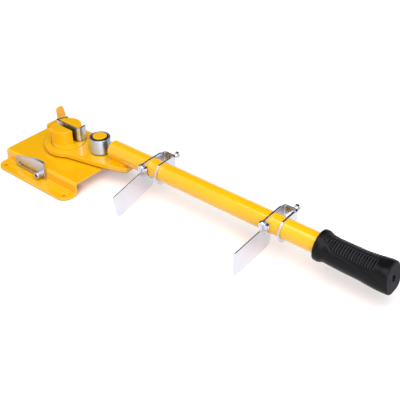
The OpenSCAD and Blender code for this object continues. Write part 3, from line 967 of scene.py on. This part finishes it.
@dataclass
class Lever:
    """Lever plate, the tube on its tongue and the welds between them."""

    plate_edge: float = 1.6
    pivot: Pair = (-9.0, 8.0)
    bore_r: float = 31.05
    bore_edge: float = 1.1
    hole_edge: float = 0.5
    plate_low: float = 26.3
    plate_top: float = 36.3
    tube_start: float = 97.0
    tube_end: float = 630.0
    tube_y: float = 20.6
    tube_z: float = 53.15
    tube_r: float = 16.85
    tube_wall: float = 2.6
    weld_start: float = 98.0
    weld_end: float = 135.0
    weld_leg: float = 13.0
    weld_slope: float = 2.4
    weld_root: float = 2.6
    weld_step: float = 0.45
    weld_wave: float = 0.05
    weld_hollow: float = 0.25
    weld_out: Pair = (0.75, 0.66)
    ripple: float = 2.8

    def plate(self, node: Item) -> Item:
        """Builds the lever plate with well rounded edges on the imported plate's outlines.

        Args:
            node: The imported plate.

        Returns:
            The plate.
        """
        loops = top_loops(node, self.plate_top)
        rounding = [self.plate_edge, self.bore_edge] + [self.hole_edge] * (len(loops) - 2)
        draft = Draft()
        draft.plate(loops, self.plate_low, self.plate_top, rounding)
        return draft.make("swing_plate")

    def shaded(self, face: bpy.types.MeshPolygon) -> bool:
        """Returns whether a face of the plate gets the painted shadow line: its lower edge and the eye's
        bore, where the gaps are in shade.
        """
        x, y, z = face.center / MM
        bore = math.hypot(x - self.pivot[0], y - self.pivot[1]) < self.bore_r + self.bore_edge
        return z < self.plate_low + self.plate_edge or bore

    def tube(self) -> Item:
        """Builds the tube with a rounded near end.

        Returns:
            The tube.
        """
        inner = self.tube_r - self.tube_wall
        length = self.tube_end - self.tube_start
        outline = fillet([(inner, 20, 0), (inner, 0, 0.6), (self.tube_r, 0, 1.9),
                          (self.tube_r, 20, 0)], 4)
        body = [(self.tube_r, z) for z in range(30, int(length), 20)]
        outline += body + [(self.tube_r, length), (inner, length)]
        return turned("lever_tube", outline, 112,
                      place(self.tube_start, self.tube_y, self.tube_z, Along.RIGHT))

    def weld(self, side: int) -> Draft:
        """Builds one rippled weld bead between tongue and tube.

        Args:
            side: -1 for the front bead, 1 for the rear one.

        Returns:
            The bead's points and faces.
        """
        draft = Draft()
        floor = self.plate_top - self.tube_z
        count = int((self.weld_end - self.weld_start) / self.weld_step)
        last: list[int] = []
        for k in range(count + 1):
            x = self.weld_start + (self.weld_end - self.weld_start) * k / count
            run = abs((x / self.ripple) % 1.0 - 0.35)
            taper = smooth(0, 4, x - self.weld_start) * smooth(0, 9, self.weld_end - x)
            leg = self.weld_leg * (0.6 + 0.4 * taper) + self.weld_wave * math.cos(run * 5) * taper
            top = math.sqrt(self.tube_r ** 2 - (leg - self.weld_slope) ** 2)
            bulge = self.weld_wave * math.cos(run * 6) * taper - self.weld_hollow
            low, high = Vector((leg, floor)), Vector((leg - self.weld_slope, -top))
            outward = Vector(self.weld_out) * bulge
            section = [Vector((self.weld_root, floor)), low]
            section += [low.lerp(high, t) + outward * math.sin(math.pi * t) for t in (0.2, 0.4, 0.6, 0.8)]
            section += [high, Vector((self.weld_root, -math.sqrt(self.tube_r ** 2 - self.weld_root ** 2)))]
            now = draft.ring((x, self.tube_y + side * p.x, self.tube_z + p.y) for p in section)
            if last:
                draft.bridge(last, now)
            else:
                draft.cap(now)
            last = now
        draft.cap(last)
        return draft

    def build(self, shop: Workshop) -> None:
        """Builds and dresses the lever.

        Args:
            shop: Solids and materials.
        """
        plate = self.plate(shop.nodes["lever_plate"])
        shop.stand_in(plate, YELLOW_PAINT, "lever", "lever_plate")
        # Painted shade along the plate's lower edge and round the eye's bore.
        shop.second(plate, SHADOW_LINE_PAINT, self.shaded)
        tube = self.tube()
        shop.stand_in(tube, YELLOW_PAINT, "lever", "handle_tube")
        bore = (self.tube_r - self.tube_wall + 0.1) * MM
        axis = Vector((self.tube_y, self.tube_z)) * MM
        shop.second(tube, BARE_STEEL, lambda face: (face.center.yz - axis).length < bore)
        beads = Draft()
        for side in (-1, 1):
            bead = self.weld(side)
            shift = len(beads.points)
            beads.points += bead.points
            beads.faces += [tuple(n + shift for n in f) for f in bead.faces]
        shop.stand_in(beads.make("tube_weld_beads"), WELD_PAINT, "lever", "tube_welds")


@dataclass
class Roller:
    """Bending roller, its bearing and the headed pin that it turns on."""

    x: float = 63.0
    y: float = 20.6
    low: float = 37.6
    high: float = 66.1
    radius: float = 19.0
    rim: float = 4.2
    well: float = 4.2
    bore: float = 9.0
    pin_low: float = 26.3
    pin_r: float = 7.0
    head_low: float = 62.2
    head_high: float = 68.4
    head_r: float = 12.92
    crown: float = 0.9
    washer_edge: float = 0.2

    def drum(self) -> Item:
        """Builds the roller with its turned well.

        Returns:
            The roller.
        """
        inner = self.radius - self.rim
        floor = self.high - self.well
        outline = fillet([
            (self.bore, floor - 4, 0), (self.bore, self.low, 0.5), (self.radius, self.low, 1.0),
            (self.radius, self.high, 0.7), (inner, self.high, 0.5), (inner, floor, 0.8),
            (self.bore, floor, 0.4), (self.bore, floor - 3, 0)], 4)
        return turned("bending_roller", outline, 128, place(self.x, self.y, 0))

    def pin(self) -> Item:
        """Builds the pin with its crowned, painted head.

        Returns:
            The pin.
        """
        top = self.head_high
        outline = fillet([
            (0, self.pin_low, 0), (self.pin_r, self.pin_low, 0.6), (self.pin_r, self.head_low, 0.3),
            (self.head_r, self.head_low, 0.4), (self.head_r, top - 0.35, 1.1), (7, top - 0.05, 20),
            (0, top, 0)], 5)
        return turned("roller_pin_head", outline, 96, place(self.x, self.y, 0))

    def build(self, shop: Workshop) -> None:
        """Builds and dresses the roller.

        Args:
            shop: Solids and materials.
        """
        shop.stand_in(self.drum(), ROLLER_CHROME, "roller", "roller")
        pin = self.pin()
        shop.stand_in(pin, YELLOW_PAINT, "lever", "roller_pin")
        crown = (self.head_high - self.crown) * MM
        shop.second(pin, BARE_STEEL, lambda face: face.center.z < crown)
        shop.dress("roller_bush", BRONZE, self.washer_edge, 2)
        shop.dress("roller_washer", STEEL, self.washer_edge, 2)


@dataclass
class Grip:
    """Moulded rubber grip: flared collar, two ribbed panels, smooth palm and a vent."""

    start: float = 520.0
    length: float = 117.0
    y: float = 20.6
    z: float = 53.15
    radius: float = 21.5
    collar_r: float = 25.0
    collar_len: float = 11.0
    tube_r: float = 16.85
    bore_len: float = 110.0
    end_round: float = 3.0
    end_lean: Pair = (1.8, 0.19)
    end_swell: float = 1.3
    squareness: float = 2.4
    rib_first: float = 15.5
    rib_last: float = 93.5
    rib_count: int = 18
    rib_depth: float = 1.7
    crest: float = 0.16
    panel: Pair = (4.0, 54.0)
    pad: float = 0.7
    palm_swell: float = 2.2
    vent: Pair = (4.6, 5.0)
    lip: float = 1.6
    waist: float = 0.35
    panel_gap: float = 7.0
    panel_fade: float = 4.0
    rib_fade: float = 0.4
    rib_flanks: Pair = (0.15, 0.85)
    swell_run: Pair = (66.0, 110.0)
    square_run: Pair = (62.0, 110.0)
    lean_start: float = 90.0
    pad_runs: tuple[Pair, Pair] = ((3.0, 9.0), (96.0, 110.0))
    pad_edge: Pair = (2.0, 1.0)
    palm_turn: Pair = (70.0, 150.0)
    steps: int = 180

    def pitch(self) -> float:
        """Returns the distance from rib to rib."""
        return (self.rib_last - self.rib_first) / self.rib_count

    def panel_end(self, u: float) -> float:
        """Returns the angle from the top at which the ribs end."""
        return min(self.panel[1], self.crease(u) - self.panel_gap)

    def line(self, u: float) -> float:
        """Returns the plain radius of the grip at a distance from its collar end."""
        flare = 1 - smooth(self.collar_len * 0.55, self.collar_len + 6, u)
        r = self.radius + (self.collar_r - self.radius) * flare
        swell = self.waist * math.sin(math.pi * min(1.0, u / self.length))
        lip = max(0.0, self.lip - u)
        near = self.lip - math.sqrt(max(0.0, self.lip ** 2 - lip ** 2))
        far = max(0.0, u - (self.length - self.end_round))
        end = self.end_round - math.sqrt(max(0.0, self.end_round ** 2 - far ** 2))
        return r - self.waist + swell + self.end_swell * smooth(*self.swell_run, u) - near - end

    def corners(self, u: float, angle: float) -> float:
        """Returns how far the section's corners stand out at a distance and an angle from the top."""
        return self.squareness * smooth(*self.square_run, u) * math.sin(math.radians(2 * angle)) ** 2

    def lean(self, u: float, z: float) -> float:
        """Returns how far the slanted end is pushed out at a distance and a height over the axis."""
        return smooth(self.lean_start, self.length, u) * (self.end_lean[0] - self.end_lean[1] * z)

    @staticmethod
    def crease(u: float) -> float:
        """Returns the angle from the top at which the palm pad begins."""
        return 20 + 44 * smooth(4, 32, u) + 22 * smooth(40, 110, u)

    def groove(self, u: float, angle: float) -> float:
        """Returns how deep the grooves between the ribs are at a place.

        Args:
            u: Distance from the collar end.
            angle: Degrees from the top, either way round.
        """
        side = abs(angle)
        low = self.panel_end(u)
        across = smooth(self.panel[0], self.panel[0] + self.panel_fade, side)
        across *= 1 - smooth(low - self.panel_fade, low, side)
        inside = smooth(self.rib_first - self.rib_fade, self.rib_first + self.rib_fade, u)
        inside *= 1 - smooth(self.rib_last - self.rib_fade, self.rib_last + self.rib_fade, u)
        wave = 0.5 - 0.5 * math.cos(2 * math.pi * (u - self.rib_first) / self.pitch())
        return self.rib_depth * inside * across * smooth(*self.rib_flanks, wave)

    def palm(self, u: float, angle: float) -> float:
        """Returns the height of the palm pad, whose edge flows from collar to underside.

        Args:
            u: Distance from the collar end.
            angle: Degrees from the top, either way round.
        """
        edge = self.crease(u)
        side = abs(angle)
        fade = smooth(*self.pad_runs[0], u) * (1 - smooth(*self.pad_runs[1], u))
        swell = self.palm_swell * math.sin(math.pi * min(1.0, u / self.length))
        swell *= smooth(*self.palm_turn, side)
        return swell + self.pad * fade * (smooth(edge - self.pad_edge[0], edge + self.pad_edge[1], side) - 1)

    def lighter_and_highlit(self, face: bpy.types.MeshPolygon) -> bool:
        """Returns whether a face gets the lighter matt rubber: the flat end, and the crest of a rib, where
        the lighter colour is a painted highlight.
        """
        u = face.center.x / MM - self.start
        if u > self.bore_len:
            return face.normal.x > 0.8
        if not self.rib_first < u < self.rib_last:
            return False
        angle = math.degrees(math.atan2(self.y - face.center.y / MM, face.center.z / MM - self.z))
        ribs = (u - self.rib_first) / self.pitch()
        crest = abs(ribs - round(ribs)) < self.crest
        return crest and self.panel[0] < abs(angle) < self.panel_end(u) and math.hypot(
            face.center.y / MM - self.y, face.center.z / MM - self.z) > self.tube_r + 1

    def build(self, shop: Workshop) -> None:
        """Builds the grip.

        Args:
            shop: Solids and materials.
        """
        stations = [0.05, 0.25, 0.6, 1.1, 1.7]
        u = 2.2
        while u < self.length - self.end_round:
            stations.append(u)
            u += 0.5 if self.rib_first - 2 < u < self.rib_last + 2 else 1.0
        tail = self.length - self.end_round
        stations += [tail + self.end_round * math.sin(math.radians(a)) for a in range(0, 91, 9)]
        draft = Draft()
        turn = [360.0 * i / self.steps for i in range(self.steps)]
        rings: list[list[int]] = []
        for u in stations:
            ring = []
            for a in turn:
                off = a - 360 if a > 180 else a
                r = self.line(u) - self.groove(u, off) + self.palm(u, off) + self.corners(u, off)
                up = r * math.cos(math.radians(a))
                ring.append((u + self.lean(u, up), -r * math.sin(math.radians(a)), up))
            rings.append(draft.ring(ring))
        face_r = self.radius - self.end_round

        def oval(u: float, high: float, wide: float) -> list[int]:
            """Adds an upright oval ring across the grip and returns its numbers."""
            slant = 1.0 if u > self.length - 6 else 0.0
            points = [(-wide * math.sin(math.radians(a)), high * math.cos(math.radians(a))) for a in turn]
            return draft.ring((u + slant * self.lean(u, z), y, z) for y, z in points)

        for dip, share in ((0.05, 0.95), (0.2, 0.8), (0.4, 0.6)):
            rings.append(oval(self.length - dip, face_r * share, face_r * share))
        for dip, grow in ((0.45, 1.12), (0.9, 1.0), (6.5, 0.95)):
            rings.append(oval(self.length - dip, self.vent[1] * grow, self.vent[0] * grow))
        rings += [oval(u, self.tube_r, self.tube_r) for u in (self.bore_len, 0.4)]
        draft.loft(rings + rings[:1])
        piece = draft.make("rubber_grip", place(self.start, self.y, self.z), math.radians(60))
        shop.stand_in(piece, BLACK_RUBBER, "lever", "grip")
        # Rib crests get the lighter rubber as a painted highlight; the flat end gets it as a matt face.
        shop.second(piece, LIT_MATT_RUBBER, self.lighter_and_highlit)


def hex_screw(name: str, where: Matrix, flats: float, head: Pair, rod: Pair, radius: float,
              plain: float = 0.0) -> Item:
    """Builds a hexagon screw along the local Z axis.

    Args:
        name: Name of the piece.
        where: Local frame in the row's frame.
        flats: Width across flats.
        head: Lower and upper face of the head.
        rod: Start and end of the shank.
        radius: Radius of the shank.
        plain: Length of plain shank at the rod's start.

    Returns:
        The screw.
    """
    draft = Draft()
    if head[0] < rod[0]:
        draft.hexagon(flats, -head[1], -head[0])
        for point in draft.points:
            point.z = -point.z
    else:
        draft.hexagon(flats, head[0], head[1])
    if plain:
        draft.lathe([(0, rod[0]), (radius, rod[0]), (radius, rod[0] + plain), (0, rod[0] + plain)], 32)
    draft.thread(radius - ROD_PLAY, SCREW_PITCH, rod[0] + plain, rod[1])
    return draft.make(name, where)


def hex_nut(name: str, where: Matrix, flats: float, faces: Pair, bore: float) -> Item:
    """Returns a hexagon nut along the local Z axis, chamfered on both faces."""
    draft = Draft()
    draft.hexagon(flats, faces[0], faces[1], bore, True)
    return draft.make(name, where)


@dataclass
class AngleStop:
    """Slotted plate at the front wall, with its socket screw and washer."""

    screw_x: float = 6.0
    screw_y: float = -79.4
    screw_z: float = 13.0
    head_r: float = 6.5
    head_len: float = 8.0
    socket_flats: float = 6.0
    socket_depth: float = 4.0
    rod_r: float = 4.0
    rod_len: float = 19.9
    rod_pitch: float = 1.25
    knurls: int = 48
    knurl_depth: float = 0.22
    mouth_share: float = 0.66
    plate_edge: float = 0.4
    washer_edge: float = 0.25

    def screw(self) -> Item:
        """Builds the knurled socket screw.

        Returns:
            The screw, with its head towards the front.
        """
        draft = Draft()
        steps = self.knurls * 2
        corner = [2 * math.pi * i / steps for i in range(steps)]

        def band(r: float, z: float, tooth: float = 0.0) -> list[int]:
            """Adds a ring with teeth and returns its numbers."""
            return draft.ring(((r - tooth * (i % 2)) * math.cos(a), (r - tooth * (i % 2)) * math.sin(a), z)
                              for i, a in enumerate(corner))

        def flats(width: float, z: float) -> list[int]:
            """Adds a hexagon ring and returns its numbers."""
            reach = [width / 2 / math.cos(a % (math.pi / 3) - math.pi / 6) for a in corner]
            return draft.ring((r * math.cos(a), r * math.sin(a), z) for r, a in zip(reach, corner))

        top, teeth = self.head_len, self.knurl_depth
        rings = [band(self.head_r - 0.4, 0), band(self.head_r - 0.1, 0.4), band(self.head_r, 0.9, teeth),
                 band(self.head_r, top - 1.3, teeth), band(self.head_r - 0.15, top - 0.8),
                 band(self.head_r - 0.8, top), band(self.socket_flats * self.mouth_share, top),
                 flats(self.socket_flats, top - 0.5), flats(self.socket_flats, top - self.socket_depth)]
        draft.loft(rings)
        draft.fan(rings[0], (0, 0, 0))
        draft.fan(rings[-1], (0, 0, top - self.socket_depth - 0.8))
        draft.thread(self.rod_r - ROD_PLAY, self.rod_pitch, -self.rod_len, 0.5)
        return draft.make("stop_lock_screw", place(self.screw_x, self.screw_y, self.screw_z, Along.FRONT))

    def build(self, shop: Workshop) -> None:
        """Builds and dresses the angle stop.

        Args:
            shop: Solids and materials.
        """
        shop.dress("angle_stop", DULL_ZINC, self.plate_edge)
        shop.dress("lock_washer", ZINC, self.washer_edge, 2)
        shop.stand_in(self.screw(), DULL_ZINC, "lock_screw", "lock_screw")


class Stop(Enum):
    """The two length stops on the lever."""

    INNER = "inner"
    OUTER = "outer"


@dataclass
class LengthStop:
    """One length stop: bracket, set screw and the flap with its bolt."""

    which: Stop
    x: float
    tube_y: float = 20.6
    tube_z: float = 53.15
    ear_angle: float = 21.7
    ear_reach: float = 28.3
    set_x: float = 13.75
    set_z: float = 5.25
    tip_y: float = 16.75
    web_y: float = 33.0
    head_y: float = 48.0
    flats: float = 10.0
    head: float = 4.0
    nut: float = 5.0
    rod_r: float = 3.0
    nut_x: float = 6.8
    bolt_end: float = 13.3
    bolt_plain: float = 4.5
    nut_play: float = 0.05
    sheet_edge: float = 0.3
    flap_edge: float = 0.25

    def frame(self) -> Matrix:
        """Returns the bracket's frame on the tube axis."""
        return Matrix.Translation((self.x, self.tube_y, self.tube_z))

    def ear(self) -> Matrix:
        """Returns the frame of the flap's bolt, with the local Z axis along the lever."""
        turn = Matrix.Rotation(math.radians(-self.ear_angle), 4, "X")
        return self.frame() @ turn @ place(0, -self.ear_reach, 0, Along.RIGHT)

    def build(self, shop: Workshop) -> None:
        """Builds and dresses the stop.

        Args:
            shop: Solids and materials.
        """
        name = self.which.value
        body = f"{name}_stop"
        shop.dress(f"{name}_bracket", ZINC, self.sheet_edge)
        shop.dress(f"{name}_flap", ZINC, self.flap_edge)
        shop.dress(f"{name}_flap_washer", ZINC, self.flap_edge, 2)
        web = self.frame() @ place(self.set_x, 0, self.set_z, Along.REAR)
        screw = hex_screw(f"{name}_clamp_screw", web, self.flats, (self.head_y, self.head_y + self.head),
                          (self.tip_y, self.head_y + 0.5), self.rod_r)
        shop.stand_in(screw, ZINC, f"{name}_set_screw", f"{name}_set_screw")
        bore = self.rod_r + self.nut_play
        nut = hex_nut(f"{name}_clamp_nut", web, self.flats, (self.web_y, self.web_y + self.nut), bore)
        shop.stand_in(nut, ZINC, body, f"{name}_set_nut")
        bolt = hex_screw(f"{name}_pivot_bolt", self.ear(), self.flats, (-self.head, 0.0),
                         (0.0, self.bolt_end), self.rod_r, self.bolt_plain)
        shop.stand_in(bolt, ZINC, body, f"{name}_flap_bolt")
        lock = hex_nut(f"{name}_pivot_nut", self.ear(), self.flats, (self.nut_x, self.nut_x + self.nut), bore)
        shop.stand_in(lock, ZINC, body, f"{name}_flap_nut")


@dataclass
class Studio:
    """Pale floor, soft light and the camera at the photograph's angle. Metres."""

    eye: Triple = (0.8852, -0.7086, 0.7043)
    target: Triple = (0.2670, 0.0538, 0.0)
    lens: float = 63.04
    sensor: float = 36.0
    view_end: float = 50.0
    floor_half: float = 6.0
    floor_z: float = -4e-4
    floor_colour: Colour = (0.70, 0.70, 0.70)
    floor_glow: Pair = (0.40, 0.66)
    glow_reach: Pair = (0.3, 0.9)
    glow_open: Pair = (0.25, 0.70)
    tint_open: Pair = (0.30, 0.80)
    hole_open: Pair = (0.38, 0.50)
    shade_reach: float = 0.03
    tint_reach: float = 0.09
    shade_tint: Triple = (0.80, 0.58, 0.50)
    hole_shade_tint: Triple = (0.52, 0.25, 0.11)
    fill: float = 0.40
    key_power: float = 17.5
    key_place: Triple = (0.55, -0.38, 1.28)
    key_size: Pair = (1.6, 1.3)
    side_power: float = 7.2
    side_place: Triple = (1.35, -0.9, 0.75)
    side_size: Pair = (0.9, 0.8)
    lamp_target: Triple = (0.25, 0.0, 0.03)
    card_colour: Colour = (0.02, 0.02, 0.025)
    # The first quad is the dark card above and behind; the second lies on the floor behind the base, a dark
    # sheet seen only in reflections, as painted shade for the shadow there.
    card_corners: tuple[Triple, ...] = (
        (-2.6, 0.4, 0.75), (0.6, 2.9, 0.75), (0.9, 0.9, 2.5), (-0.7, -0.3, 2.5),
        (0.095, 0.06, 0.002), (0.15, 0.06, 0.002), (0.15, 0.3, 0.002), (0.095, 0.3, 0.002))

    def camera(self) -> None:
        """Makes the camera and gives it to the scene."""
        data = bpy.data.cameras.new("camera")
        data.sensor_width = self.sensor
        data.lens = self.lens
        data.clip_end = self.view_end
        camera = add_object("camera", data)
        aim(camera, self.eye, self.target)
        bpy.context.scene.camera = camera

    @staticmethod
    def seen(board: Board) -> Socket:
        """Returns a value that is 1 for rays that show the background.

        Args:
            board: The tree that needs it.
        """
        path = board.add("LightPath")
        direct = board.math("MAXIMUM", path.outputs["Is Camera Ray"], path.outputs["Is Glossy Ray"])
        return board.math("MAXIMUM", direct, path.outputs["Is Transmission Ray"])

    def world(self) -> None:
        """Makes the white surround, with a lower level for the light that it gives."""
        world = bpy.data.worlds.new("white_surround")
        world.use_nodes = True
        bpy.context.scene.world = world
        board = Board(world.node_tree)
        background = world.node_tree.nodes["Background"]
        background.inputs["Color"].default_value = (1, 1, 1, 1)
        level = board.span(self.seen(board), 0.0, 1.0, self.fill, 1.0)
        board.link(level, background.inputs["Strength"])

    def floor(self) -> None:
        """Makes the pale floor, which keeps the object's shadow, with painted shade near the object: a warm
        tint where it is shut in, a dark brown tint deep in the bench holes, and less glow near the object.
        """
        h, z = self.floor_half, self.floor_z
        mesh = bpy.data.meshes.new("floor")
        mesh.from_pydata([(-h, -h, z), (h, -h, z), (h, h, z), (-h, h, z)], [], [(0, 1, 2, 3)])
        floor = add_object("floor", mesh)
        material, board, shader = new_material("pale_floor")
        # Painted shade: a warm tint where the floor is shut in near the object, and a dark brown tint deep in
        # the bench holes.
        around = board.shut_in(self.tint_reach)
        tint = board.blend(board.span(around, *self.tint_open, 0.0, 1.0), self.shade_tint, self.floor_colour)
        near = board.shut_in(self.shade_reach)
        colour = board.blend(board.span(near, *self.hole_open, 0.0, 1.0), self.hole_shade_tint, tint)
        apart = board.add("VectorMath", operation="DISTANCE")
        board.link(board.spot(), apart.inputs[0])
        apart.inputs[1].default_value = (*self.target[:2], 0)
        # Painted shade: the glow is lower near the object and is taken out where the floor is shut in, so
        # contact shadows read deeper.
        level = board.span(apart.outputs["Value"], *self.glow_reach, *self.floor_glow)
        clear = board.span(near, *self.glow_open, 0.0, 1.0)
        glow = board.math("MULTIPLY", board.math("MULTIPLY", self.seen(board), clear), level)
        board.fill(shader, {"Base Color": colour, "Roughness": 0.9, "Specular IOR Level": 0.0,
                            "Emission Color": (1, 1, 1, 1), "Emission Strength": glow})
        mesh.materials.append(material)

    def lamp(self, name: str, where: Triple, size: Pair, power: float) -> None:
        """Makes a soft rectangular lamp that points at the object.

        Args:
            name: Name of the lamp.
            where: Its place.
            size: Its width and height.
            power: Its power in watts.
        """
        data = bpy.data.lights.new(name, "AREA")
        data.shape = "RECTANGLE"
        data.size, data.size_y = size
        data.energy = power
        aim(add_object(name, data), where, self.lamp_target)

    def dark_card(self) -> None:
        """Makes the dark card behind the object that only bright metal and gloss can see, and a dark sheet on
        the floor behind the base that only reflections see, as painted shade for the floor's shadow there.
        """
        mesh = bpy.data.meshes.new("dark_card")
        mesh.from_pydata(self.card_corners, [], [(0, 1, 2, 3), (4, 5, 6, 7)])
        card = add_object("dark_card", mesh)
        material, board, shader = new_material("dark_card")
        board.fill(shader, {"Base Color": (*self.card_colour, 1), "Roughness": 1.0})
        mesh.materials.append(material)
        card.visible_camera = False
        card.visible_diffuse = False
        card.visible_shadow = False

    def build(self) -> None:
        """Sets up the whole studio."""
        bpy.context.scene.view_settings.view_transform = "Standard"
        self.camera()
        self.world()
        self.floor()
        self.dark_card()
        self.lamp("key_lamp", self.key_place, self.key_size, self.key_power)
        self.lamp("side_lamp", self.side_place, self.side_size, self.side_power)


def main() -> None:
    """Loads the frame, then builds and dresses each sub-assembly in order."""
    logging.basicConfig(level=logging.INFO, format="%(name)s: %(message)s")
    for item in list(bpy.data.objects):
        bpy.data.objects.remove(item)
    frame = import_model()
    effects = Effects()
    materials = {finish: finish.material(effects) for finish in FINISHES}
    shop = Workshop(frame["nodes"], materials)
    for assembly in (Base(), Former(), Lever(), Roller(), Grip(), AngleStop(),
                     LengthStop(Stop.INNER, 189.0), LengthStop(Stop.OUTER, 435.0)):
        log.info("sub-assembly %s", type(assembly).__name__)
        assembly.build(shop)
    Studio().build()
    bpy.context.view_layer.update()


if __name__ == "__main__":
    main()
